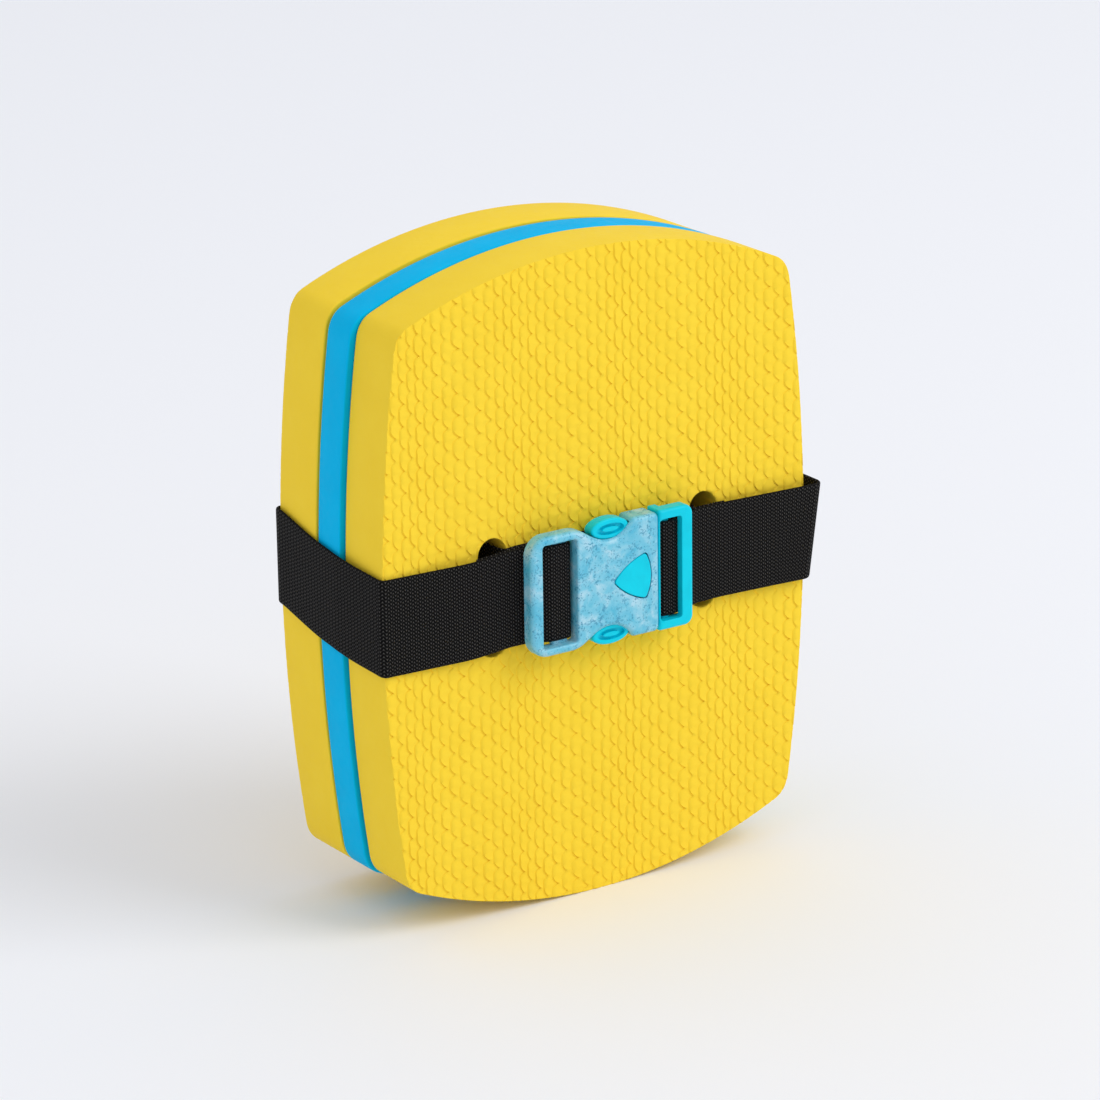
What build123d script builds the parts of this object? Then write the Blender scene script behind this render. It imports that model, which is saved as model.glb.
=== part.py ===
from build123d import *
import os

# Back float for a child learning to swim: three die-cut foam boards threaded on one 40 mm
# webbing belt that closes with a three-point child-safe side-release buckle.
# Millimetres. +X is to the right seen from the front, -Y is the embossed front, +Z is up.
# Everything is first laid out about the middle of the front face, then moved so that the
# origin is at the bottom centre of the whole float's bounding box.

# ---- boards ----
HALF_HEIGHT = 135.0
HALF_WIDTH = 102.1
CORNER_X = 93.4  # where the side arc and the end arc would meet if the corner were sharp
CORNER_Z = 114.1
CORNER_ROUND = 7.5
EDGE_ROUND = 0.8
BOARDS = {  # name: front and back of the board along Y
    "front_board": (0.0, 28.0),
    "middle_board": (28.5, 44.5),
    "back_board": (45.0, 73.0),
}
BACK_Y = BOARDS["back_board"][1]
SLOT_X = 51.0
SLOT_WIDTH = 13.0
SLOT_HEIGHT = 49.0

# ---- webbing ----
WEB_WIDTH = 40.0
WEB_THICK = 1.5
WEB_Z = -1.0
BEND = 1.8  # centreline radius where the webbing folds tightly
SLACK_BEND = 4.0  # centreline radius where it stands off the right side
FACE_Y = -0.8  # webbing lying on the front face
TAIL_Y = -2.35  # folded-back ends, between the front face and the buckle
RUN_Y = -3.9  # runs from the edges to the buckle, over the tails
OVER_BAR_Y = -9.05  # webbing on top of the hidden middle bars
TAIL_END_X = 60.0
RUN_LIFT_X = 61.5  # inboard of this the runs lie on the tails
LEFT_SIDE_X = -103.1
RIGHT_SIDE_X = 107.5
WRAP_START_X = 100.0  # where the slack right-hand run meets the fixed wrap

# ---- buckle, shared ----
FRONT_Y = -12.5
REAR_Y = -2.6
SLOT_HALF = 21.5  # half the clear height of both webbing slots
SLOT_END_REAR_Y = -6.6  # both slotted ends are thinner than the middle of the buckle
MID_BAR_Y = (-8.2, -5.5)
MID_BAR_ROUND = 1.2
SOCKET_ROUND = 2.2  # front rims
PLUG_ROUND = 1.5
REAR_ROUND = 0.8
SLOT_CORNER = 1.4
SOCKET_LIP = 1.0  # front rims of the webbing slots
PLUG_LIP = 0.3
HEAD_ROUND = 1.0
BUTTON_ROUND = 0.5

# ---- socket ----
SOCKET_LEFT = -41.0
SOCKET_RIGHT = 20.5
SOCKET_HALF = 25.0
SOCKET_SLOT = (-35.5, -19.0)
SOCKET_MID_BAR = (-29.2, -21.3)
WAIST_LEFT = -22.0
WAIST_X = -3.0
WAIST_RIGHT = 7.8
WAIST_HALF = 18.2
NECK = (-11.0, 19.5)  # left of this x the rear half is no higher than this
CAVITY_LEFT = -16.5
CAVITY_HALF = 23.5
CAVITY_Y = (-10.7, -4.4)

# ---- plug ----
PLUG_LEFT = 20.7
PLUG_RIGHT = 37.4
PLUG_HALF = 25.4
PLUG_Y = (-12.0, -3.0)
PLUG_BAR_REAR_Y = -8.8  # the outer bar is thinner still: the webbing rises behind it
PLUG_SLOT = (21.5, 31.8)
PLUG_MID_BAR = (24.3, 28.2)
INNER_Y = (-10.5, -4.6)  # depth of everything that goes inside the socket
BLOCK_LEFT = 17.3
BLOCK_HALF = 23.2
SPINE_TIP = -13.0
ARM_PIVOT = (17.8, 19.2)
ARM_KNUCKLE = 1.45
RUNNING_GAP = 0.05
HEAD_CENTRE = (-2.0, 22.0)
HEAD_RADII = (9.0, 4.3)
TONGUE_PIVOT = (-8.0, -9.5)
TONGUE_KNUCKLE = 0.95
TONGUE_Y = (-10.5, -8.6)
BUTTON_Y = (-12.6, -10.4)
BUTTON_GAP = 0.35

# ---- from the layout's origin to the bottom centre of the bounding box ----
LEFT_EXTREME = LEFT_SIDE_X - WEB_THICK / 2
RIGHT_EXTREME = RIGHT_SIDE_X + WEB_THICK / 2
REAR_EXTREME = BACK_Y - FACE_Y + WEB_THICK / 2
TO_ORIGIN = Pos(
    -(LEFT_EXTREME + RIGHT_EXTREME) / 2,
    -(BUTTON_Y[0] + REAR_EXTREME) / 2,
    HALF_HEIGHT,
)


def slab(sketch, y_front, y_back):
    """An XZ sketch made solid between two depths."""
    return extrude(Plane.XZ.offset(-y_front) * sketch, amount=-(y_back - y_front))


def box_between(xs, ys, zs):
    """A box from its low and high limits along each axis."""
    sizes = [hi - lo for lo, hi in (xs, ys, zs)]
    middle = [(hi + lo) / 2 for lo, hi in (xs, ys, zs)]
    return Pos(*middle) * Box(*sizes)


def mirrored(shape):
    """The same shape on the other side of the buckle's horizontal centre plane."""
    return mirror(shape, about=Plane.XY)


def edges_at(solid, y):
    """The edges that lie at one depth."""
    return solid.edges().filter_by(lambda e: abs((e @ 0).Y - y) + abs((e @ 1).Y - y) < 0.01)


def rounded_slab(sketch, ys, front_round, rear_round):
    """A slab whose front and rear rims are rounded."""
    solid = slab(sketch, *ys)
    solid = fillet(edges_at(solid, ys[0]), front_round)
    return fillet(edges_at(solid, ys[1]), rear_round)


# ------------------------------------------------------------------ boards
def board_outline():
    """Barrel-shaped outline: four long arcs meeting in rounded corners."""
    top = ThreePointArc((-CORNER_X, CORNER_Z), (0, HALF_HEIGHT), (CORNER_X, CORNER_Z))
    right = ThreePointArc((CORNER_X, CORNER_Z), (HALF_WIDTH, 0), (CORNER_X, -CORNER_Z))
    bottom = ThreePointArc((CORNER_X, -CORNER_Z), (0, -HALF_HEIGHT), (-CORNER_X, -CORNER_Z))
    left = ThreePointArc((-CORNER_X, -CORNER_Z), (-HALF_WIDTH, 0), (-CORNER_X, CORNER_Z))
    face = make_face(top + right + bottom + left)
    return fillet(face.vertices(), CORNER_ROUND)


def board(y_front, y_back):
    """One foam board with its two webbing slots."""
    solid = rounded_slab(board_outline(), (y_front, y_back), EDGE_ROUND, EDGE_ROUND)
    slot = Rot(0, 0, 90) * SlotOverall(SLOT_HEIGHT, SLOT_WIDTH)
    for x in (-SLOT_X, SLOT_X):
        solid -= slab(Pos(x, 0) * slot, y_front - 1, y_back + 1)
    return solid


# ------------------------------------------------------------------ webbing
def ribbon(points, bend=BEND):
    """Webbing along a plan-view centreline, standing on edge about WEB_Z."""
    path = FilletPolyline(*[(x, y, WEB_Z) for x, y in points], radius=bend)
    start = Plane(origin=path @ 0, x_dir=(0, 0, 1), z_dir=path % 0)
    return sweep(start * Rectangle(WEB_WIDTH, WEB_THICK), path)


def slot_pass(side):
    """Plan points from the front face through a board slot to the back, outward."""
    inner = SLOT_X - SLOT_WIDTH / 2 + 1.7
    outer = SLOT_X + SLOT_WIDTH / 2 - 1.7
    return [(side * inner, FACE_Y), (side * outer, BACK_Y - FACE_Y)]


def centre_band():
    """The middle of the belt: across the front face and back through both slots."""
    left, right = slot_pass(-1), slot_pass(1)
    ends = [(left[1][0] - 5, left[1][1]), (right[1][0] + 5, right[1][1])]
    return ribbon([ends[0], left[1], left[0], right[0], right[1], ends[1]])


def left_wrap():
    """From the left slot round the left side, through the socket and back as a tail."""
    slot_exit = slot_pass(-1)[1]
    gap_x = (SOCKET_SLOT[0] + SOCKET_MID_BAR[0]) / 2
    turn_x = SOCKET_MID_BAR[1] + WEB_THICK / 2 + 0.05
    return ribbon(
        [
            (slot_exit[0] - 5, slot_exit[1]),
            (LEFT_SIDE_X, slot_exit[1]),
            (LEFT_SIDE_X, FACE_Y),
            (-WRAP_START_X + 2, FACE_Y),
            (-RUN_LIFT_X, RUN_Y),
            (gap_x, RUN_Y),
            (gap_x, OVER_BAR_Y),
            (turn_x, OVER_BAR_Y),
            (turn_x, TAIL_Y),
            (-TAIL_END_X, TAIL_Y),
        ]
    )


def right_wrap():
    """From the right slot round the right side, where the belt stands off the foam."""
    slot_exit = slot_pass(1)[1]
    return ribbon(
        [
            (slot_exit[0] + 5, slot_exit[1]),
            (RIGHT_SIDE_X, slot_exit[1]),
            (RIGHT_SIDE_X, RUN_Y),
            (WRAP_START_X, RUN_Y),
        ],
        bend=SLACK_BEND,
    )


def right_run():
    """The free stretch between the right-hand edge and the plug."""
    return box_between(
        (PLUG_RIGHT + 0.6, WRAP_START_X - 0.05),
        (RUN_Y - WEB_THICK / 2, RUN_Y + WEB_THICK / 2),
        (WEB_Z - WEB_WIDTH / 2, WEB_Z + WEB_WIDTH / 2),
    )


def right_loop():
    """Through the plug, over its middle bar and back under itself as a tail."""
    gap_x = (PLUG_SLOT[1] + PLUG_MID_BAR[1]) / 2
    turn_x = PLUG_MID_BAR[0] - WEB_THICK / 2 - 0.05
    return ribbon(
        [
            (PLUG_RIGHT + 0.55, RUN_Y),
            (gap_x, RUN_Y),
            (gap_x, OVER_BAR_Y),
            (turn_x, OVER_BAR_Y),
            (turn_x, TAIL_Y),
            (TAIL_END_X, TAIL_Y),
        ]
    )


# ------------------------------------------------------------------ buckle socket
def with_slot(body, xs, y_front, lip):
    """Cuts a webbing slot and rounds its front rim."""
    tool = Pos((xs[0] + xs[1]) / 2, 0) * RectangleRounded(xs[1] - xs[0], 2 * SLOT_HALF, SLOT_CORNER)
    body -= slab(tool, y_front - 1, 0)
    rim = edges_at(body, y_front).filter_by(
        lambda e: xs[0] - 0.01 < e.center().X < xs[1] + 0.01
        and abs(e.center().Z) < SLOT_HALF + 0.01
    )
    return fillet(rim, lip)


def mid_bar(xs):
    """Rounded bar inside a webbing slot that the webbing is folded over."""
    bar = box_between(xs, MID_BAR_Y, (-SLOT_HALF - 1, SLOT_HALF + 1))
    return fillet(bar.edges().filter_by(Axis.Z), MID_BAR_ROUND)


def socket_outline():
    """Rounded rectangle with a waist top and bottom where the arm heads show."""
    left = Line((SOCKET_LEFT, 0), (SOCKET_LEFT, SOCKET_HALF))
    top = Line((SOCKET_LEFT, SOCKET_HALF), (WAIST_LEFT, SOCKET_HALF))
    dip = Spline(
        (WAIST_LEFT, SOCKET_HALF), (-12.5, 21.4), (WAIST_X, WAIST_HALF),
        tangents=((1, 0), (1, 0)),
    )
    rise = Spline(
        (WAIST_X, WAIST_HALF), (4.0, 20.6), (WAIST_RIGHT, SOCKET_HALF),
        tangents=((1, 0), (0.5, 1)),
    )
    shoulder = Line((WAIST_RIGHT, SOCKET_HALF), (SOCKET_RIGHT, SOCKET_HALF))
    mouth = Line((SOCKET_RIGHT, SOCKET_HALF), (SOCKET_RIGHT, 0))
    middle = Line((SOCKET_RIGHT, 0), (SOCKET_LEFT, 0))
    half = make_face(left + top + dip + rise + shoulder + mouth + middle)
    face = half + mirror(half, about=Plane.XZ)
    far_left = face.vertices().filter_by(lambda v: v.X < SOCKET_LEFT + 0.01 and abs(v.Y) > 1)
    face = fillet(far_left, 8.0)
    at_waist = face.vertices().filter_by(
        lambda v: abs(v.X - WAIST_RIGHT) < 0.01 and abs(v.Y) > SOCKET_HALF - 0.01
    )
    face = fillet(at_waist, 1.6)
    at_mouth = face.vertices().filter_by(lambda v: v.X > SOCKET_RIGHT - 0.01 and abs(v.Y) > 1)
    return fillet(at_mouth, 2.5)


def button_outline(grow=0.0):
    """Guitar-pick triangle with convex sides, pointing away from the mouth."""
    apex = (-1.6 - 1.8 * grow, 0)
    high = (13.6 + 0.9 * grow, 9.4 + 1.5 * grow)
    low = (high[0], -high[1])
    bulge_z = 6.1 + grow
    upper = ThreePointArc(apex, (5.4 - grow / 2, bulge_z), high)
    back = ThreePointArc(high, (16.2 + grow, 0), low)
    lower = ThreePointArc(low, (5.4 - grow / 2, -bulge_z), apex)
    face = make_face(upper + back + lower)
    return fillet(face.vertices(), 1.6)


def socket_housing():
    """The female half: a flat shell open at the mouth, with a tri-glide end."""
    body = rounded_slab(socket_outline(), (FRONT_Y, REAR_Y), SOCKET_ROUND, REAR_ROUND)
    body = with_slot(body, SOCKET_SLOT, FRONT_Y, SOCKET_LIP)
    body -= box_between((CAVITY_LEFT, SOCKET_RIGHT + 1), CAVITY_Y, (-CAVITY_HALF, CAVITY_HALF))
    slot_end = (SOCKET_LEFT - 1, SOCKET_SLOT[1])
    body -= box_between(slot_end, (SLOT_END_REAR_Y, 0), (-SOCKET_HALF - 1, SOCKET_HALF + 1))
    neck = box_between(
        (SOCKET_SLOT[1] - 1, NECK[0]), (SLOT_END_REAR_Y, 0), (NECK[1], SOCKET_HALF + 1)
    )
    body -= neck + mirrored(neck)
    body += mid_bar(SOCKET_MID_BAR)
    body -= slab(button_outline(BUTTON_GAP), FRONT_Y - 1, CAVITY_Y[0] + 1)
    return body


# ------------------------------------------------------------------ buckle plug
def knuckle_y(radius):
    """Arm pivot cylinder, along Y."""
    x, z = ARM_PIVOT
    return slab(Pos(x, z) * Circle(radius), *INNER_Y)


def tongue_knuckle(radius, half_length):
    """Release tongue pivot cylinder, along Z."""
    x, y = TONGUE_PIVOT
    return Pos(x, y, 0) * Cylinder(radius, 2 * half_length)


def taper(x_wide, half_wide, x_narrow, half_narrow):
    """A symmetric trapezium outline along X."""
    upper = [(x_wide, half_wide), (x_narrow, half_narrow)]
    lower = [(x_narrow, -half_narrow), (x_wide, -half_wide)]
    return make_face(Polyline(*upper, *lower, close=True))


def plug_frame():
    """The male half without its springing pieces: frame, bars, block and spine."""
    width = PLUG_RIGHT - PLUG_LEFT
    rim = Pos((PLUG_RIGHT + PLUG_LEFT) / 2, 0) * Rectangle(width, 2 * PLUG_HALF)
    rim = fillet(rim.vertices().filter_by(lambda v: v.X > PLUG_RIGHT - 0.01), 4.0)
    rim = fillet(rim.vertices().filter_by(lambda v: v.X < PLUG_LEFT + 0.01), 0.8)
    body = rounded_slab(rim, PLUG_Y, PLUG_ROUND, REAR_ROUND)
    body = with_slot(body, PLUG_SLOT, PLUG_Y[0], PLUG_LIP)
    slot_end = (PLUG_MID_BAR[0], PLUG_RIGHT + 1)
    body -= box_between(slot_end, (SLOT_END_REAR_Y, 0), (-PLUG_HALF - 1, PLUG_HALF + 1))
    passage = (PLUG_SLOT[1] - 1, PLUG_RIGHT + 1)
    body -= box_between(passage, (PLUG_BAR_REAR_Y, 0), (-SLOT_HALF, SLOT_HALF))
    body += mid_bar(PLUG_MID_BAR)
    body += box_between((BLOCK_LEFT, PLUG_SLOT[0]), INNER_Y, (-BLOCK_HALF, BLOCK_HALF))
    body += slab(taper(BLOCK_LEFT + 1, 13.0, SPINE_TIP, 7.0), *INNER_Y)
    body -= slab(taper(BLOCK_LEFT, 11.0, TONGUE_PIVOT[0], 4.8), FRONT_Y, 0)
    body -= tongue_knuckle(TONGUE_KNUCKLE + RUNNING_GAP, 4.8)
    seat = knuckle_y(ARM_KNUCKLE + RUNNING_GAP)
    relief = box_between((0, ARM_PIVOT[0]), INNER_Y, (ARM_PIVOT[1] - 3.5, BLOCK_HALF + 1))
    return body - seat - relief - mirrored(seat) - mirrored(relief)


def latch_arm():
    """Upper arm: knuckle, stem, hooked shoulder and the oval head that is squeezed."""
    px, pz = ARM_PIVOT
    stem = [(px, pz - 1.4), (px, pz + 1.4), (5.0, pz + 2.2), (5.0, pz - 1.6)]
    body = knuckle_y(ARM_KNUCKLE) + slab(make_face(Polyline(*stem, close=True)), *INNER_Y)
    head = Pos(*HEAD_CENTRE) * Ellipse(*HEAD_RADII)
    body += rounded_slab(head, INNER_Y, HEAD_ROUND, HEAD_ROUND)
    body += box_between((-1.0, 6.0), INNER_Y, (18.2, 24.6))
    eye = Pos(*HEAD_CENTRE) * (Ellipse(6.6, 2.3) - Ellipse(3.8, 0.9))
    body -= slab(eye, INNER_Y[0] - 1, INNER_Y[0] + 1.6)
    return body


def release_button():
    """Springing tongue that carries the triangular button."""
    free_x = BLOCK_LEFT - 0.5
    body = slab(taper(free_x, 10.2, TONGUE_PIVOT[0], 4.3), *TONGUE_Y)
    body += tongue_knuckle(TONGUE_KNUCKLE, 4.3)
    pick = slab(button_outline(), *BUTTON_Y)
    body += fillet(edges_at(pick, BUTTON_Y[0]), BUTTON_ROUND)
    return body


# ------------------------------------------------------------------ export
def build_all():
    """Every node of the float, in the layout frame."""
    nodes = {name: board(*depth) for name, depth in BOARDS.items()}
    nodes["webbing_centre_band"] = centre_band()
    nodes["webbing_left_wrap"] = left_wrap()
    nodes["webbing_right_wrap"] = right_wrap()
    nodes["webbing_right_run"] = right_run()
    nodes["webbing_right_loop"] = right_loop()
    nodes["socket_housing"] = socket_housing()
    nodes["plug_frame"] = plug_frame()
    nodes["latch_arm_upper"] = latch_arm()
    nodes["latch_arm_lower"] = mirrored(latch_arm())
    nodes["release_button"] = release_button()
    return nodes


os.makedirs("parts", exist_ok=True)
for node, shape in build_all().items():
    export_step(TO_ORIGIN * shape, f"parts/{node}.step")
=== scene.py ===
import math

import bmesh
import bpy
import numpy as np
from mathutils import Matrix, Vector


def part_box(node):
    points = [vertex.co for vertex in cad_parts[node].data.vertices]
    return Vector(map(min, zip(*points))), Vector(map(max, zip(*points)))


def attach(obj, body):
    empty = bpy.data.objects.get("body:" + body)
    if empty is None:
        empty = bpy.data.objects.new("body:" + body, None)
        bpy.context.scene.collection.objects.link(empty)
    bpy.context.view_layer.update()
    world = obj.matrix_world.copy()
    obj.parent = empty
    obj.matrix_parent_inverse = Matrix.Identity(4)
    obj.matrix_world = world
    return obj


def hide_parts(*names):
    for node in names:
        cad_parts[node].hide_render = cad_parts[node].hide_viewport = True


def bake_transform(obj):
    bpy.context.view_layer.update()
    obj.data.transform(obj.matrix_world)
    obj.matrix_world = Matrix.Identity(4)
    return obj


# Looks of a child's back float: three foam boards on a webbing belt with a buckle.
# The boards and the belt are modelled here, and the buckle shows its CAD nodes.
# Shapes are laid out in millimetres about the middle of the front face: X is to the right
# seen from the front, Y goes back and Z up. to_frame() moves them into the shared frame, in
# metres. Colours are linear.

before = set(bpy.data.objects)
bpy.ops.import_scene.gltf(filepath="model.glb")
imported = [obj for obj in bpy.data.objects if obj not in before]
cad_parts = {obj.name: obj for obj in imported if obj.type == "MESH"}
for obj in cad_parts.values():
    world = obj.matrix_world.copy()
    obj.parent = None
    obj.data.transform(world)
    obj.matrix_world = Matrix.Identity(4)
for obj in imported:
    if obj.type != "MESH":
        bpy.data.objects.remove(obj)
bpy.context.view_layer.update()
MM = 0.001

# The front board's box in frame millimetres, to the nearest thousandth.
FRONT_LOW, FRONT_HIGH = (np.round(np.array(corner) / MM, 3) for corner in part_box("front_board"))
FRONT_MIDDLE = (FRONT_LOW + FRONT_HIGH) / 2
LAYOUT_TO_FRAME = np.round([FRONT_MIDDLE[0], FRONT_LOW[1], FRONT_MIDDLE[2]], 3)

# ---- boards ----
HALF_WIDTH, _, HALF_HEIGHT = np.round((FRONT_HIGH - FRONT_LOW) / 2, 3)
CORNER_X = 93.4  # where the side arc and the end arc would meet if the corner were sharp
CORNER_Z = 114.1
CORNER_ROUND = 7.5
RIM_ROUND = 0.8
FRONT_BOARD_Y = (0.0, 28.0)
MIDDLE_BOARD_Y = (28.4, 44.4)
BACK_BOARD_Y = (45.0, 72.4)
FOAM_SHARP = 50  # degrees from which an edge of the foam stays sharp

# How a board hangs: shift (x, z), turn in degrees, and how far back its bottom and top stand.
MIDDLE_HANG = ((-1.8, 0.0), 0.35, (1.3, 0.0))
BACK_HANG = ((-1.9, 0.1), 0.0, (0.8, 2.2))

# ---- slots through the boards ----
SLOT_X = 51.0
SLOT_WIDTH = 13.0
SLOT_HEIGHT = 49.0
SLOT_MOUTH = ((0.9, -1.0), (0.9, 0.0), (0.25, 0.5), (0.0, 1.2))  # (growth, depth below the face)

# ---- embossed fish scales: columns of tall scales, neighbours half a scale apart ----
SCALE_COLUMN = 4.4
SCALE_PITCH = 8.95
SCALE_ORIGIN = (-1.4, 1.7)
SCALE_RELIEF = 0.7
SCALE_SLANT = 0.9  # how much lower a scale lies at its right edge
SCALE_CURL = 2.5  # how far a scale's left edge curls inwards at its foot
CURL_UNEVEN = 0.5  # share of the curl that varies from scale to scale
FOOT_SHARE = 0.4  # share of a scale's height that curls at its foot
HEAD_SHARE = 0.25  # and at its head
EDGE_WANDER = 0.5  # how far apart the middles of two edges may wander
WALL_SHARE = 0.1  # share of a scale's width that its steep left edge takes
FALL_RIGHT = 0.85  # share of the relief lost towards a scale's right edge
FALL_HEAD = 0.75  # share of the relief lost towards its head
FADE_FROM = 0.5  # share of its height where that loss starts
FALL_UNEVEN = 0.3  # share of the relief that varies from scale to scale
STRETCH_PERIOD = 50.0
STRETCH_PLACE = 12.0
STRETCH_AMOUNT = 1.3
SCALE_LINES = (0.0, WALL_SHARE, 0.42, 0.78)  # mesh lines, as shares of a scale's width
SCALE_LEVELS = 13  # mesh levels in one scale's height
SHEET_COLUMNS = 26  # columns each side of the middle
SHEET_ROWS = 15.5  # scales above and below the middle
RELIEF_SKIN = 0.02  # foam skimmed off even the highest scale
TOOL_DEPTH = 4.0

# ---- webbing ----
WEB_HALF = 20.0
WEB_THICK = 1.5
WEB_CLEARANCE = 0.04  # kept free on each side
RIB_PITCH = 2.15
RIB_DEPTH = 0.20  # share of the thickness that a rib stands proud by
PICK_PITCH = 1.5
PICK_SLANT = 1.2  # how far a pick runs across the belt for each mm along it
RIB_SHARE = 0.55  # a rib's height in the weave, where a pick's is 1
WEAVE_TO_UNIT = 0.32  # brings the weave's height, from its lowest place, to about 0 to 1
SAMPLES_PER_RIB = 4
ACROSS_POINTS = 15
SELVEDGE_WIDTH = 1.0
SELVEDGE = ((0.0, 0.25), (0.35, 0.75))  # (distance from the edge, share of the thickness)
WEB_SHARP = 60

# ---- the belt in plan ----
FACE_Y = -0.8  # on the front face
TAIL_Y = -2.35  # folded-back ends, between the front face and the buckle
RUN_Y = -3.9  # runs from the edges to the buckle
OVER_BAR_Y = -9.05  # over the hidden middle bars of the buckle
BACK_WEB_Y = 74.8
LEFT_LAND_X = -98.0  # where the left run comes down on the face
LEFT_FRONT_X = -103.2
LEFT_BACK_X = -105.0
LEFT_BULGE_Y = 30.0
RIGHT_SIDE_X = 107.5
LEFT_BAR_X = (-20.5, -30.0)  # both sides of the hidden bar, in the belt's order
LEFT_RISE = ((-46.0, RUN_Y), (-36.4, -5.6))  # (x, y) at the foot and half-way up to the bar
RIGHT_BAR_X = (29.0, 23.5)
RIGHT_RISE = ((45.0, RUN_Y), (32.5, -7.9))
SLOT_FRONT_X = 46.2  # the belt slants back through each slot, from here
SLOT_BACK_X = (-57.0, 53.6)  # to here
TAIL_END_X = 60.0
LIFT_X = 61.5  # inboard of this the left run lies on its tail
JOIN_X = 100.0  # where the right run starts
PLUG_EDGE_X = 46.5  # where the loop that rides with the plug starts
TIGHT_BEND = 1.8
EDGE_BEND = 2.4
SLACK_BEND = 4.0
RISE_BEND = 8.0
LIFT_BEND = 12.0
BEND_STEPS = 12

# ---- height of the belt's middle, as (x, height) pairs on the front and the back ----
FRONT_HEIGHTS = ((-104, -2.3), (-65, -1.9), (-40, 0.2), (34, -0.5), (55, 0.0), (104, -1.2))
BACK_HEIGHTS = ((-104, 9.2), (-58, 3.0), (58, 1.0), (104, 0.0))
# and as (y, height) pairs on the sides and through the slots
LEFT_HEIGHTS = ((0, -2.1), (20, -0.6), (46, 3.1), (60, 6.3), (72, 9.2))
RIGHT_HEIGHTS = ((0, -1.2), (73, 0.0))
SLOT_HEIGHTS = ((0, -0.7), (73, 2.0))
DEPTHS_BETWEEN = (1.0, 72.0)  # the belt is on a side or in a slot between these depths
SIDES_BEYOND_X = 90.0
SMOOTHED_OVER = 31  # samples, an odd number

# ---- outward lean of the belt where it stands off the right side ----
LEAN = 0.14  # per mm of height
LEAN_PIVOT = 12.0  # height on the belt, above its middle, that the lean leaves in place
LEAN_FROM_X = 84.0
LEAN_GROWS_OVER = 18.0
LEAN_FADES_FROM_Y = 6.0
LEAN_FADES_OVER = 60.0

# ---- colours: (light, dark) of each foam, and from dark to light for the rest ----
YELLOW = ((0.965, 0.680, 0.045), (0.945, 0.655, 0.040))
BLUE = ((0.0, 0.50, 0.86), (0.0, 0.46, 0.81))
FIBRES = ((0.001, 0.001, 0.001), (0.005, 0.005, 0.005))
# painted highlight, mixed onto the crests of the weave
CREST_PAINTED_HIGHLIGHT = (0.085, 0.080, 0.075)
MARBLE = ((0.06, 0.46, 0.65), (0.17, 0.56, 0.72), (0.42, 0.69, 0.80))
MARBLE_FLECK = (0.03, 0.27, 0.44)
TURQUOISE = ((0.0, 0.59, 0.75), (0.0, 0.66, 0.82))

# ---- studio, in metres ----
FLOOR_HALF = 9.0
FLOOR_COLOUR = (0.925, 0.93, 0.95)
SKY_COLOUR = (0.93, 0.95, 1.0)
SKY_STRENGTH = 0.80
KEY_PLACE = (2.6, -3.2, 3.8)
KEY_SIZE = 3.2
KEY_POWER = 110.0
KEY_COLOUR = (1.0, 0.985, 0.965)
LIGHT_AIM = (0, 0, 0.13)

# ---- camera: its place in layout millimetres, its angles in degrees ----
CAMERA_PLACE = (-1040.4, -1506.0, 620.8)
CAMERA_AZIMUTH = -34.017
CAMERA_ELEVATION = 18.447
CAMERA_ROLL = -0.787
CAMERA_LENS = 158.54
CAMERA_SENSOR = 36.0


def to_frame(points):
    """Layout millimetres to frame metres."""
    return (np.asarray(points, float) + LAYOUT_TO_FRAME) * MM


# ------------------------------------------------------------------ mesh helpers
def mesh_object(name, vertices, faces):
    """A new smooth-shaded mesh object, linked to the scene."""
    mesh = bpy.data.meshes.new(name)
    mesh.from_pydata([tuple(v) for v in vertices], [], faces)
    mesh.validate()
    mesh.shade_smooth()
    obj = bpy.data.objects.new(name, mesh)
    bpy.context.scene.collection.objects.link(obj)
    return obj


def fix_normals(obj):
    """Points every face outwards."""
    work = bmesh.new()
    work.from_mesh(obj.data)
    bmesh.ops.recalc_face_normals(work, faces=work.faces)
    work.to_mesh(obj.data)
    work.free()


def cut(target, tool):
    """Takes a closed tool out of a closed target; the tool is removed."""
    step = target.modifiers.new("cut", "BOOLEAN")
    step.operation = "DIFFERENCE"
    step.object = tool
    step.solver = "MANIFOLD"
    graph = bpy.context.evaluated_depsgraph_get()
    made = bpy.data.meshes.new_from_object(target.evaluated_get(graph))
    target.modifiers.clear()
    target.data = made
    bpy.data.objects.remove(tool, do_unlink=True)


def split_normals(obj, degrees):
    """Smooth shading except over edges sharper than the angle."""
    mesh = obj.data
    mesh.shade_smooth()
    mesh.set_sharp_from_angle(angle=math.radians(degrees))


def coordinates(mesh):
    """Vertex positions as an array."""
    co = np.empty(len(mesh.vertices) * 3)
    mesh.vertices.foreach_get("co", co)
    return co.reshape(-1, 3)


def set_coordinates(mesh, co):
    """Writes vertex positions back."""
    mesh.vertices.foreach_set("co", np.asarray(co, float).ravel())
    mesh.update()


def place_in_frame(obj):
    """Turns an object's mesh from layout millimetres into frame metres."""
    set_coordinates(obj.data, to_frame(coordinates(obj.data)))


# ------------------------------------------------------------------ material helpers
def new_material(name, roughness):
    """A material with its node tree and its Principled shader."""
    material = bpy.data.materials.new(name)
    material.use_nodes = True
    tree = material.node_tree
    shader = tree.nodes["Principled BSDF"]
    shader.inputs["Roughness"].default_value = roughness
    return material, tree, shader


def object_coordinates(tree):
    """Coordinates in the object's own metres."""
    return tree.nodes.new("ShaderNodeTexCoord").outputs["Object"]


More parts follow.
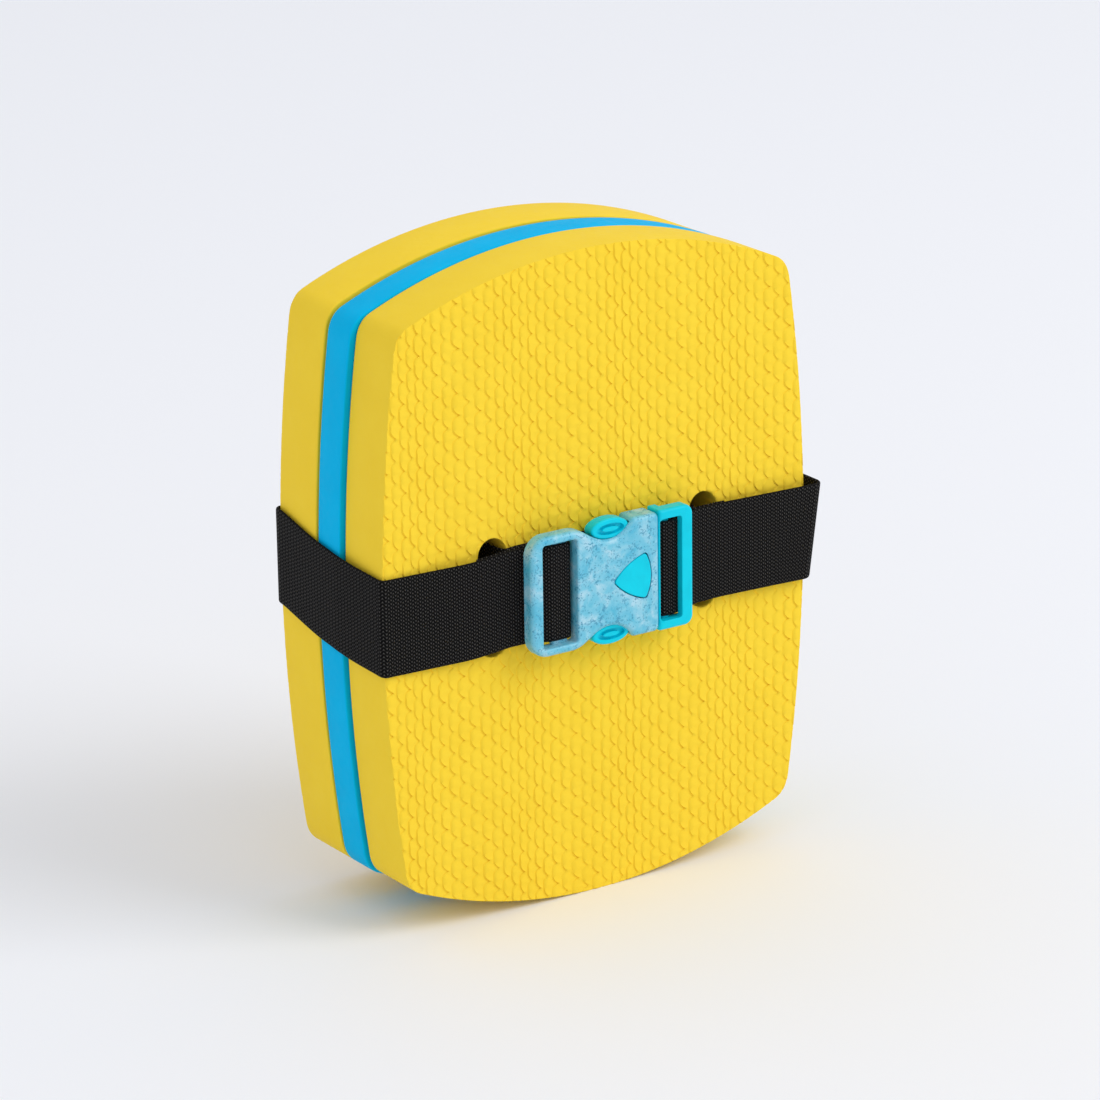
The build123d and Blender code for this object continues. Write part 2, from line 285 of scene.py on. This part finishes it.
def noise(tree, coords, scale, detail=3.0, rough=0.5, distortion=0.0):
    """Noise over coordinates in metres; scale is in features a metre."""
    node = tree.nodes.new("ShaderNodeTexNoise")
    node.inputs["Scale"].default_value = scale
    node.inputs["Detail"].default_value = detail
    node.inputs["Roughness"].default_value = rough
    node.inputs["Distortion"].default_value = distortion
    tree.links.new(coords, node.inputs["Vector"])
    return node.outputs["Fac"]


def ramp(tree, factor, stops):
    """A colour ramp over a factor; stops are (position, colour)."""
    node = tree.nodes.new("ShaderNodeValToRGB")
    elements = node.color_ramp.elements
    while len(elements) < len(stops):
        elements.new(0.5)
    for element, (position, colour) in zip(elements, stops):
        element.position = position
        element.color = (*colour, 1.0)
    tree.links.new(factor, node.inputs["Fac"])
    return node.outputs["Color"]


def grey(value):
    """A grey for ramps that carry a number."""
    return (value, value, value)


def bump(tree, height, distance, strength, normal=None):
    """A bump node, on top of another one's normal if given; distance is in metres."""
    node = tree.nodes.new("ShaderNodeBump")
    node.inputs["Distance"].default_value = distance
    node.inputs["Strength"].default_value = strength
    tree.links.new(height, node.inputs["Height"])
    if normal is not None:
        tree.links.new(normal, node.inputs["Normal"])
    return node.outputs["Normal"]


def math_node(tree, operation, a, b=None):
    """A math node over sockets or numbers."""
    node = tree.nodes.new("ShaderNodeMath")
    node.operation = operation
    for socket, value in zip(node.inputs, (a, b)):
        if value is None:
            continue
        if isinstance(value, (int, float)):
            socket.default_value = value
        else:
            tree.links.new(value, socket)
    return node.outputs[0]


def mix_colour(tree, factor, under, over):
    """A colour mix by a factor; under is a socket and over a colour."""
    node = tree.nodes.new("ShaderNodeMix")
    node.data_type = "RGBA"
    colour_a, colour_b = node.inputs[6], node.inputs[7]
    tree.links.new(factor, node.inputs["Factor"])
    tree.links.new(under, colour_a)
    colour_b.default_value = (*over, 1.0)
    return node.outputs[2]


# ------------------------------------------------------------------ materials
def foam_material(name, light, dark):
    """Closed-cell foam: nearly even colour, faint mottling and a fine cell grain."""
    material, tree, shader = new_material(name, 0.5)
    coords = object_coordinates(tree)
    mottling = noise(tree, coords, scale=60, detail=4)
    tree.links.new(ramp(tree, mottling, [(0.3, dark), (0.7, light)]), shader.inputs["Base Color"])
    grain = noise(tree, coords, scale=2600, detail=2)
    soft = noise(tree, coords, scale=330)
    cells = bump(tree, grain, distance=0.00012, strength=0.5)
    surface = bump(tree, soft, distance=0.0006, strength=0.25, normal=cells)
    tree.links.new(surface, shader.inputs["Normal"])
    tree.links.new(ramp(tree, soft, [(0.3, grey(0.5)), (0.7, grey(0.62))]), shader.inputs["Roughness"])
    shader.inputs["Specular IOR Level"].default_value = 0.05
    return material


def weave_height(tree):
    """Height of slanted picks across each rib, from the belt's stored weave places, in mm."""
    place = tree.nodes.new("ShaderNodeAttribute")
    place.attribute_name = "weave"
    parts = tree.nodes.new("ShaderNodeSeparateXYZ")
    tree.links.new(place.outputs["Vector"], parts.inputs[0])
    along, across = parts.outputs["X"], parts.outputs["Y"]
    slant = math_node(tree, "PINGPONG", along, RIB_PITCH / 2)
    drift = math_node(tree, "ADD", across, math_node(tree, "MULTIPLY", slant, PICK_SLANT))
    pick = math_node(tree, "SINE", math_node(tree, "MULTIPLY", drift, 2 * math.pi / PICK_PITCH))
    rib = math_node(tree, "COSINE", math_node(tree, "MULTIPLY", along, 4 * math.pi / RIB_PITCH))
    return math_node(tree, "ADD", math_node(tree, "MULTIPLY", rib, RIB_SHARE), pick)


def webbing_material():
    """Black woven polypropylene, with a painted highlight lightening its raised threads."""
    material, tree, shader = new_material("webbing", 0.5)
    weave = weave_height(tree)
    tree.links.new(bump(tree, weave, distance=0.00018, strength=0.8), shader.inputs["Normal"])
    fibres = noise(tree, object_coordinates(tree), scale=700, detail=4)
    base = ramp(tree, fibres, [(0.25, FIBRES[0]), (0.8, FIBRES[1])])
    # painted highlight: the higher the weave, the more of the crest colour it gets
    above_lowest = math_node(tree, "ADD", weave, 1 + RIB_SHARE)
    unit = math_node(tree, "MULTIPLY", above_lowest, WEAVE_TO_UNIT)
    painted_crest_highlight = ramp(tree, unit, [(0.50, grey(0.0)), (0.75, grey(0.25)), (0.95, grey(1.0))])
    tree.links.new(mix_colour(tree, painted_crest_highlight, base, CREST_PAINTED_HIGHLIGHT), shader.inputs["Base Color"])
    shader.inputs["Specular IOR Level"].default_value = 0.04
    return material


def marbled_material():
    """Pale blue acetal with white veils and darker blue flecks."""
    material, tree, shader = new_material("marbled_plastic", 0.33)
    coords = object_coordinates(tree)
    veil = noise(tree, coords, scale=120, detail=6, rough=0.62, distortion=0.5)
    body = ramp(tree, veil, list(zip((0.33, 0.50, 0.68), MARBLE)))
    fleck = noise(tree, coords, scale=1300, detail=2, rough=0.6)
    cluster = noise(tree, coords, scale=260, detail=2)
    spots = math_node(tree, "ADD", fleck, math_node(tree, "MULTIPLY", cluster, 0.45))
    mask = ramp(tree, spots, [(0.80, grey(0.0)), (0.88, grey(0.8))])
    tree.links.new(mix_colour(tree, mask, body, MARBLE_FLECK), shader.inputs["Base Color"])
    tree.links.new(bump(tree, veil, distance=0.0003, strength=0.2), shader.inputs["Normal"])
    shader.inputs["Subsurface Weight"].default_value = 0.1
    shader.inputs["Subsurface Radius"].default_value = (0.4, 0.8, 1.0)
    shader.inputs["Subsurface Scale"].default_value = 0.002
    return material


def turquoise_material():
    """Satin turquoise acetal with faint flow mottling."""
    material, tree, shader = new_material("turquoise_plastic", 0.34)
    coords = object_coordinates(tree)
    flow = noise(tree, coords, scale=120, distortion=0.8)
    colour = ramp(tree, flow, [(0.3, TURQUOISE[0]), (0.7, TURQUOISE[1])])
    tree.links.new(colour, shader.inputs["Base Color"])
    fine = noise(tree, coords, scale=1500, detail=2)
    tree.links.new(bump(tree, fine, distance=0.00006, strength=0.4), shader.inputs["Normal"])
    tree.links.new(ramp(tree, fine, [(0.3, grey(0.3)), (0.7, grey(0.4))]), shader.inputs["Roughness"])
    shader.inputs["Specular IOR Level"].default_value = 0.15
    return material


# ------------------------------------------------------------------ board shapes
def arc_through(a, b, c, count=60):
    """Points on the circle through three plan points, from a to c, without c."""
    (ax, az), (bx, bz), (cx, cz) = a, b, c
    d = 2 * (ax * (bz - cz) + bx * (cz - az) + cx * (az - bz))
    sa, sb, sc = ax**2 + az**2, bx**2 + bz**2, cx**2 + cz**2
    ox = (sa * (bz - cz) + sb * (cz - az) + sc * (az - bz)) / d
    oz = (sa * (cx - bx) + sb * (ax - cx) + sc * (bx - ax)) / d
    start = math.atan2(az - oz, ax - ox)
    sweep = math.atan2(cz - oz, cx - ox) - start
    sweep = (sweep + math.pi) % (2 * math.pi) - math.pi
    radius = math.hypot(ax - ox, az - oz)
    angles = start + sweep * np.arange(count) / count
    return np.stack([ox + radius * np.cos(angles), oz + radius * np.sin(angles)], axis=1)


def bridge(start, leaving, end, arriving, steps=12):
    """Points of the smooth curve between two points, without its ends, from their tangents."""
    t = (np.arange(1, steps) / steps)[:, None]
    from_start = (2 * t**3 - 3 * t**2 + 1) * start + (t**3 - 2 * t**2 + t) * leaving
    to_end = (-2 * t**3 + 3 * t**2) * end + (t**3 - t**2) * arriving
    return from_start + to_end


def soften_corners(loop, corners, radius):
    """Replaces the loop's stretch around each sharp corner by a smooth one."""
    cleared = radius * 0.62  # how near a corner no point is kept
    pull = 1.15  # length of the bridge's tangents, as a share of the gap
    kept = loop[np.min([np.hypot(*(loop - c).T) for c in corners], axis=0) > cleared]
    out = []
    for i, point in enumerate(kept):
        after = kept[(i + 1) % len(kept)]
        out.append(point)
        gap = math.hypot(*(after - point))
        if gap < cleared:
            continue
        leaving = point - kept[i - 1]
        arriving = kept[(i + 2) % len(kept)] - after
        leaving = leaving / math.hypot(*leaving) * gap * pull
        arriving = arriving / math.hypot(*arriving) * gap * pull
        out.extend(bridge(point, leaving, after, arriving))
    return np.array(out)


def board_outline():
    """The boards' barrel outline, clockwise from the top left."""
    tl, tr = (-CORNER_X, CORNER_Z), (CORNER_X, CORNER_Z)
    br, bl = (CORNER_X, -CORNER_Z), (-CORNER_X, -CORNER_Z)
    loop = np.concatenate(
        [
            arc_through(tl, (0, HALF_HEIGHT), tr),
            arc_through(tr, (HALF_WIDTH, 0), br),
            arc_through(br, (0, -HALF_HEIGHT), bl),
            arc_through(bl, (-HALF_WIDTH, 0), tl),
        ]
    )
    return soften_corners(loop, np.array([tl, tr, br, bl]), CORNER_ROUND)


def slot_outline(x, growth, end_points=17):
    """A vertical obround slot, clockwise, that much larger all round."""
    radius = SLOT_WIDTH / 2 + growth
    straight = SLOT_HEIGHT / 2 - SLOT_WIDTH / 2
    top = np.linspace(math.pi, 0, end_points)
    bottom = np.linspace(0, -math.pi, end_points)
    loop = [(x + radius * math.cos(a), straight + radius * math.sin(a)) for a in top]
    loop += [(x + radius * math.cos(a), -straight + radius * math.sin(a)) for a in bottom]
    return np.array(loop)


def inset(loop, amount):
    """A closed clockwise loop moved inwards along its normals."""
    ahead, behind = np.roll(loop, -1, axis=0), np.roll(loop, 1, axis=0)
    tangent = ahead - behind
    tangent /= np.hypot(*tangent.T)[:, None]
    return loop + amount * np.stack([tangent[:, 1], -tangent[:, 0]], axis=1)


def prism(name, rings):
    """A closed solid through equal-length rings of (loop, y), capped at both ends."""
    n = len(rings[0][0])
    vertices = [(x, y, z) for loop, y in rings for x, z in loop]
    faces = [tuple(range(n))[::-1]]
    for r in range(len(rings) - 1):
        a, b = r * n, (r + 1) * n
        faces += [(a + i, a + (i + 1) % n, b + (i + 1) % n, b + i) for i in range(n)]
    last = (len(rings) - 1) * n
    faces.append(tuple(range(last, last + n)))
    obj = mesh_object(name, vertices, faces)
    fix_normals(obj)
    return obj


def rim_profile(y_front, y_back, radius, steps=4):
    """(inset, y) pairs of a slab with rounded front and back rims."""
    angles = [math.pi / 2 * k / steps for k in range(steps + 1)]
    front = [(radius * (1 - math.sin(a)), y_front + radius * (1 - math.cos(a))) for a in angles]
    back = [(d, y_back - (y - y_front)) for d, y in reversed(front)]
    return front + back


def board_blank(name, y_front, y_back):
    """A board with rounded rims and both slots, its faces still smooth."""
    outline = board_outline()
    profile = rim_profile(y_front, y_back, RIM_ROUND)
    blank = prism(name, [(inset(outline, d), y) for d, y in profile])
    for x in (-SLOT_X, SLOT_X):
        rings = [(slot_outline(x, growth), y_front + depth) for growth, depth in SLOT_MOUTH]
        rings += [(slot_outline(x, growth), y_back - depth) for growth, depth in SLOT_MOUTH[::-1]]
        cut(blank, prism("slot_tool", rings))
    return blank


# ------------------------------------------------------------------ embossed scales
def scale_place(column, z):
    """Which of a column's scales a height lies on, and where: 0 at its foot, 1 at its head."""
    place = (z - SCALE_ORIGIN[1]) / SCALE_PITCH + 0.5 * (column % 2)
    return np.floor(place), place % 1.0


def unevenness(column, index, draw=0):
    """A repeatable number between 0 and 1 for each scale, scattered by its large factors.

    Each draw gives the scales other numbers."""
    return (np.sin((column + draw) * 12.99 + index * 78.23) * 437.58) % 1.0


def curl(column, index):
    """A factor about 1 for how far a scale's edge curls."""
    return 1 - CURL_UNEVEN / 2 + CURL_UNEVEN * unevenness(column, index)


def left_edge(column, z):
    """A column's left edges, as x before stretching: upright, curled inwards at the ends."""
    index, phase = scale_place(column, z)
    foot = np.clip(1 - phase / FOOT_SHARE, 0, 1) ** 2 * curl(column, index)
    head = np.clip((phase - (1 - HEAD_SHARE)) / HEAD_SHARE, 0, 1) ** 2 * curl(column, index + 1)
    aside = unevenness(column, index, draw=40) - 0.5
    wander = EDGE_WANDER * aside * np.sin(math.pi * phase) ** 2
    return SCALE_ORIGIN[0] + column * SCALE_COLUMN + SCALE_CURL * np.maximum(foot, head) + wander


def scale_height(column, share, z):
    """Height from 0 to 1 of a column's scales at a share of the way to the next column."""
    index, phase = scale_place(column, z + SCALE_SLANT * share)
    wall = np.clip(share / WALL_SHARE, 0, 1)
    dome = 1 - FALL_RIGHT * share**1.5
    fade = 1 - FALL_HEAD * np.clip((phase - FADE_FROM) / (1 - FADE_FROM), 0, 1) ** 1.3
    uneven = 1 - FALL_UNEVEN + FALL_UNEVEN * unevenness(column, index, draw=7)
    return wall * dome * fade * uneven


def stretch(x):
    """Lets the scales' spacing swell and shrink slowly across the face."""
    return x + STRETCH_AMOUNT * np.sin(2 * math.pi * (x + STRETCH_PLACE) / STRETCH_PERIOD)


def scale_sheet():
    """The relief as a grid: x, z and height, over a little more than the face."""
    reach = int(SHEET_ROWS * SCALE_LEVELS)
    z = np.arange(-reach, reach + 1) * SCALE_PITCH / SCALE_LEVELS
    xs, heights = [], []
    for column in np.arange(-SHEET_COLUMNS, SHEET_COLUMNS + 1):
        left, right = left_edge(column, z), left_edge(column + 1, z)
        for share in SCALE_LINES:
            xs.append(left + share * (right - left))
            heights.append(scale_height(column, share, z))
    return np.array(xs), np.broadcast_to(z, (len(xs), len(z))), np.array(heights)


def relief_tool(face_y, direction):
    """A closed block whose one side is the scale relief, to cut a board's face with.

    direction is +1 where the board lies towards +Y of its face, -1 where it lies towards -Y."""
    x, z, height = scale_sheet()
    lines, rows = x.shape
    y = face_y + direction * (SCALE_RELIEF * (1 - height) + RELIEF_SKIN)
    vertices = np.stack([stretch(x), y, z], axis=-1).reshape(-1, 3)
    starts = [i * rows + j for i in range(lines - 1) for j in range(rows - 1)]
    quads = [(v, v + rows, v + rows + 1, v + 1) for v in starts]
    tool = mesh_object("relief", vertices, quads)
    work = bmesh.new()
    work.from_mesh(tool.data)
    lifted = bmesh.ops.extrude_face_region(work, geom=work.faces[:])
    for v in (g for g in lifted["geom"] if isinstance(g, bmesh.types.BMVert)):
        v.co.y = face_y - direction * TOOL_DEPTH
    bmesh.ops.recalc_face_normals(work, faces=work.faces)
    work.to_mesh(tool.data)
    work.free()
    return tool


# ------------------------------------------------------------------ boards
def finish_board(board, material):
    """A board's material and shading."""
    board.data.materials.clear()
    board.data.materials.append(material)
    split_normals(board, FOAM_SHARP)


def hang_board(obj, shift, turn, lean):
    """Sets a board as it hangs on the belt.

    shift is (x, z) in mm, turn the degrees it is turned in its own plane, and lean how far
    back its bottom and its top edge stand, in mm."""
    co = coordinates(obj.data)
    c, s = math.cos(math.radians(turn)), math.sin(math.radians(turn))
    x, z = co[:, 0].copy(), co[:, 2].copy()
    bottom, top = lean
    co[:, 1] += bottom + (top - bottom) * (z + HALF_HEIGHT) / (2 * HALF_HEIGHT)
    co[:, 0] = c * x - s * z + shift[0]
    co[:, 2] = s * x + c * z + shift[1]
    set_coordinates(obj.data, co)


def build_boards():
    """All three boards, the outer faces of the yellow ones embossed."""
    yellow = foam_material("yellow_foam", *YELLOW)
    blue = foam_material("blue_foam", *BLUE)
    front = board_blank("front_board_foam", *FRONT_BOARD_Y)
    cut(front, relief_tool(FRONT_BOARD_Y[0], 1))
    finish_board(front, yellow)
    middle = board_blank("middle_board_foam", *MIDDLE_BOARD_Y)
    finish_board(middle, blue)
    hang_board(middle, *MIDDLE_HANG)
    back = board_blank("back_board_foam", *BACK_BOARD_Y)
    cut(back, relief_tool(BACK_BOARD_Y[1], -1))
    finish_board(back, yellow)
    hang_board(back, *BACK_HANG)
    for obj, node, slot in (
        (front, "front_board", "yellow_foam"),
        (middle, "middle_board", "blue_foam"),
        (back, "back_board", "yellow_foam"),
    ):
        place_in_frame(obj)
        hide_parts(node)
        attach(obj, "float")


# ------------------------------------------------------------------ belt
def belt_route():
    """The whole belt in plan: (x, y, bend radius) at each corner, left tail to right tail."""
    return [
        (-TAIL_END_X, TAIL_Y, TIGHT_BEND),
        (LEFT_BAR_X[0], TAIL_Y, TIGHT_BEND),
        (LEFT_BAR_X[0], OVER_BAR_Y, TIGHT_BEND),
        (LEFT_BAR_X[1], OVER_BAR_Y, SLACK_BEND),
        (*LEFT_RISE[1], SLACK_BEND),
        (*LEFT_RISE[0], RISE_BEND),
        (-LIFT_X, RUN_Y, LIFT_BEND),
        (LEFT_LAND_X, FACE_Y, EDGE_BEND),
        (LEFT_FRONT_X, FACE_Y, EDGE_BEND),
        (LEFT_BACK_X, LEFT_BULGE_Y, SLACK_BEND),
        (LEFT_BACK_X, BACK_WEB_Y, EDGE_BEND),
        (SLOT_BACK_X[0], BACK_WEB_Y, TIGHT_BEND),
        (-SLOT_FRONT_X, FACE_Y, TIGHT_BEND),
        (SLOT_FRONT_X, FACE_Y, TIGHT_BEND),
        (SLOT_BACK_X[1], BACK_WEB_Y, TIGHT_BEND),
        (RIGHT_SIDE_X, BACK_WEB_Y, SLACK_BEND),
        (RIGHT_SIDE_X, RUN_Y, SLACK_BEND),
        (*RIGHT_RISE[0], RISE_BEND),
        (*RIGHT_RISE[1], SLACK_BEND),
        (RIGHT_BAR_X[0], OVER_BAR_Y, SLACK_BEND),
        (RIGHT_BAR_X[1], OVER_BAR_Y, TIGHT_BEND),
        (RIGHT_BAR_X[1], TAIL_Y, TIGHT_BEND),
        (TAIL_END_X, TAIL_Y, TIGHT_BEND),
    ]


def rounded_plan(route):
    """The route as a fine polyline, each corner replaced by its arc."""
    points = [np.array(route[0][:2])]
    for (ax, ay, _), (bx, by, radius), (cx, cy, _) in zip(route, route[1:], route[2:]):
        a, b, c = np.array([ax, ay]), np.array([bx, by]), np.array([cx, cy])
        u, w = (a - b) / np.hypot(*(a - b)), (c - b) / np.hypot(*(c - b))
        half = math.acos(max(-1.0, min(1.0, float(u @ w)))) / 2
        reach = radius / math.tan(half)
        middle = (u + w) / np.hypot(*(u + w))
        centre = b + middle * radius / math.sin(half)
        first, last = b + u * reach - centre, b + w * reach - centre
        turn = math.atan2(first[0] * last[1] - first[1] * last[0], float(first @ last))
        for k in range(BEND_STEPS + 1):
            cos, sin = math.cos(turn * k / BEND_STEPS), math.sin(turn * k / BEND_STEPS)
            spoke = np.array([cos * first[0] - sin * first[1], sin * first[0] + cos * first[1]])
            points.append(centre + spoke)
    points.append(np.array(route[-1][:2]))
    return np.array(points)


def even_samples(plan):
    """Distances along the belt, a fixed share of a rib apart, and the plan points there."""
    steps = np.hypot(*np.diff(plan, axis=0).T)
    along = np.concatenate([[0], np.cumsum(steps)])
    s = np.arange(0, along[-1], RIB_PITCH / SAMPLES_PER_RIB)
    return s, np.stack([np.interp(s, along, plan[:, 0]), np.interp(s, along, plan[:, 1])], axis=1)


def height_at(places, profile):
    """Heights at places, between a profile's (place, height) pairs."""
    at, heights = zip(*profile)
    return np.interp(places, at, heights)


def belt_height(plan):
    """Height of the belt's middle: it climbs along the left side and sinks at the front."""
    x, y = plan.T
    front_ends, back_starts = DEPTHS_BETWEEN
    front, back = height_at(x, FRONT_HEIGHTS), height_at(x, BACK_HEIGHTS)
    z = np.where(y < front_ends, front, np.where(y > back_starts, back, height_at(y, SLOT_HEIGHTS)))
    between = (y >= front_ends) & (y <= back_starts)
    z = np.where((x < -SIDES_BEYOND_X) & between, height_at(y, LEFT_HEIGHTS), z)
    z = np.where((x > SIDES_BEYOND_X) & between, height_at(y, RIGHT_HEIGHTS), z)
    window = np.hanning(SMOOTHED_OVER)
    padded = np.pad(z, SMOOTHED_OVER // 2, mode="edge")
    return np.convolve(padded, window / window.sum(), mode="valid")


def belt_lean(plan):
    """Outward lean per mm of height, most at the front of the right side."""
    x, y = plan.T
    grown = np.clip((x - LEAN_FROM_X) / LEAN_GROWS_OVER, 0, 1)
    faded = np.clip((y - LEAN_FADES_FROM_Y) / LEAN_FADES_OVER, 0, 1)
    return LEAN * grown * (1 - faded)


def across_profile():
    """Heights and thickness shares from the bottom selvedge to the top one."""
    inner = np.linspace(-WEB_HALF + SELVEDGE_WIDTH, WEB_HALF - SELVEDGE_WIDTH, ACROSS_POINTS)
    edge = np.array([WEB_HALF - distance for distance, _ in SELVEDGE])
    thin = np.array([share for _, share in SELVEDGE])
    v = np.concatenate([-edge, inner, edge[::-1]])
    share = np.concatenate([thin, np.ones(ACROSS_POINTS), thin[::-1]])
    return v, share


def belt_piece(name, s, plan, first, last, material):
    """The stretch of the belt between two of its samples."""
    height, lean = belt_height(plan), belt_lean(plan)
    tangent = np.gradient(plan, axis=0)
    tangent /= np.hypot(*tangent.T)[:, None]
    normal = np.stack([tangent[:, 1], -tangent[:, 0]], axis=1)
    v, share = across_profile()
    rib = 0.5 + 0.5 * np.cos(2 * math.pi * s / RIB_PITCH)
    rows, weave = [], []
    for i in range(first, last + 1):
        half = (WEB_THICK / 2 - WEB_CLEARANCE) * share * (1 - RIB_DEPTH + RIB_DEPTH * rib[i])
        lean_x = lean[i] * (v - LEAN_PIVOT)
        for side in (1, -1):
            x = plan[i, 0] + side * half * normal[i, 0] + lean_x
            y = plan[i, 1] + side * half * normal[i, 1]
            rows.append(np.stack([x, y, height[i] + v], axis=1))
            weave.append(np.stack([np.full(len(v), s[i]), v * side, np.zeros(len(v))], axis=1))
    obj = mesh_object(name, np.concatenate(rows), belt_faces(last - first + 1, len(v)))
    fix_normals(obj)
    store = obj.data.attributes.new("weave", "FLOAT_VECTOR", "POINT")
    store.data.foreach_set("vector", np.concatenate(weave).ravel())
    obj.data.materials.append(material)
    split_normals(obj, WEB_SHARP)
    place_in_frame(obj)
    return obj


def belt_faces(stations, width):
    """Faces of a belt stretch whose stations each have an outer row and an inner one."""
    faces = []
    step = 2 * width
    for i in range(stations - 1):
        outer, inner = 2 * i * width, (2 * i + 1) * width
        for k in range(width - 1):
            faces.append((outer + k, outer + k + 1, outer + step + k + 1, outer + step + k))
            faces.append((inner + k + 1, inner + k, inner + step + k, inner + step + k + 1))
        for k in (0, width - 1):
            faces.append((outer + k, outer + step + k, inner + step + k, inner + k))
    for station in (0, stations - 1):
        outer, inner = 2 * station * width, (2 * station + 1) * width
        for k in range(width - 1):
            faces.append((outer + k, outer + k + 1, inner + k + 1, inner + k))
    return faces


def build_belt():
    """The belt as its fixed part, the right run, which is left where it is built, and the plug's loop.
    """
    material = webbing_material()
    s, plan = even_samples(rounded_plan(belt_route()))
    x, y = plan.T
    join = np.flatnonzero((x > JOIN_X) & (y < 0))[-1]
    plug = np.flatnonzero((x < PLUG_EDGE_X) & (s > s[join]))[0]
    fixed = belt_piece("belt", s, plan, 0, join, material)
    run = belt_piece("belt_right_run", s, plan, join, plug, material)
    loop = belt_piece("belt_right_loop", s, plan, plug, len(s) - 1, material)
    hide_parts("webbing_centre_band", "webbing_left_wrap", "webbing_right_wrap")
    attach(fixed, "float")
    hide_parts("webbing_right_run")
    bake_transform(run)
    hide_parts("webbing_right_loop")
    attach(loop, "plug")


# ------------------------------------------------------------------ buckle
def dress_buckle():
    """Materials of the CAD nodes that are shown as they are."""
    marbled, turquoise = marbled_material(), turquoise_material()
    looks = {
        "socket_housing": marbled,
        "plug_frame": turquoise,
        "latch_arm_upper": turquoise,
        "latch_arm_lower": turquoise,
        "release_button": turquoise,
    }
    for node, material in looks.items():
        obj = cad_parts[node]
        obj.data.materials.clear()
        obj.data.materials.append(material)


# ------------------------------------------------------------------ studio
def build_floor():
    """A wide pale floor that the float stands on."""
    corners = [(-1, -1), (1, -1), (1, 1), (-1, 1)]
    places = [(x * FLOOR_HALF, y * FLOOR_HALF, 0) for x, y in corners]
    floor = mesh_object("floor", places, [(0, 1, 2, 3)])
    material, _, shader = new_material("floor", 0.7)
    shader.inputs["Base Color"].default_value = (*FLOOR_COLOUR, 1.0)
    shader.inputs["Specular IOR Level"].default_value = 0.2
    floor.data.materials.append(material)


def build_sky():
    """An even pale sky that lights everything softly."""
    world = bpy.data.worlds.new("studio")
    world.use_nodes = True
    background = world.node_tree.nodes["Background"]
    background.inputs["Color"].default_value = (*SKY_COLOUR, 1.0)
    background.inputs["Strength"].default_value = SKY_STRENGTH
    bpy.context.scene.world = world


def build_key_light():
    """One large soft light, high on the right, aimed at the middle of the float."""
    data = bpy.data.lights.new("key", "AREA")
    data.size = KEY_SIZE
    data.energy = KEY_POWER
    data.color = KEY_COLOUR
    lamp = bpy.data.objects.new("key", data)
    lamp.location = KEY_PLACE
    aim = Vector(LIGHT_AIM) - Vector(KEY_PLACE)
    lamp.rotation_euler = aim.to_track_quat("-Z", "Y").to_euler()
    bpy.context.scene.collection.objects.link(lamp)


def build_camera():
    """The photograph's viewpoint: azimuth, elevation, roll and a long lens."""
    azimuth, elevation = math.radians(CAMERA_AZIMUTH), math.radians(CAMERA_ELEVATION)
    flat = math.cos(elevation)
    back = Vector((math.sin(azimuth) * flat, -math.cos(azimuth) * flat, math.sin(elevation)))
    right = (-back).cross(Vector((0, 0, 1))).normalized()
    up = right.cross(-back)
    c, s = math.cos(math.radians(CAMERA_ROLL)), math.sin(math.radians(CAMERA_ROLL))
    axes = Matrix((c * right + s * up, c * up - s * right, back)).transposed()
    data = bpy.data.cameras.new("camera")
    data.lens = CAMERA_LENS
    data.sensor_width = CAMERA_SENSOR
    data.clip_end = 100.0
    camera = bpy.data.objects.new("camera", data)
    camera.matrix_world = Matrix.Translation(to_frame(CAMERA_PLACE)) @ axes.to_4x4()
    bpy.context.scene.collection.objects.link(camera)
    bpy.context.scene.camera = camera


bpy.context.scene.view_settings.view_transform = "Standard"
build_camera()
build_floor()
build_sky()
build_key_light()
build_boards()
build_belt()
dress_buckle()
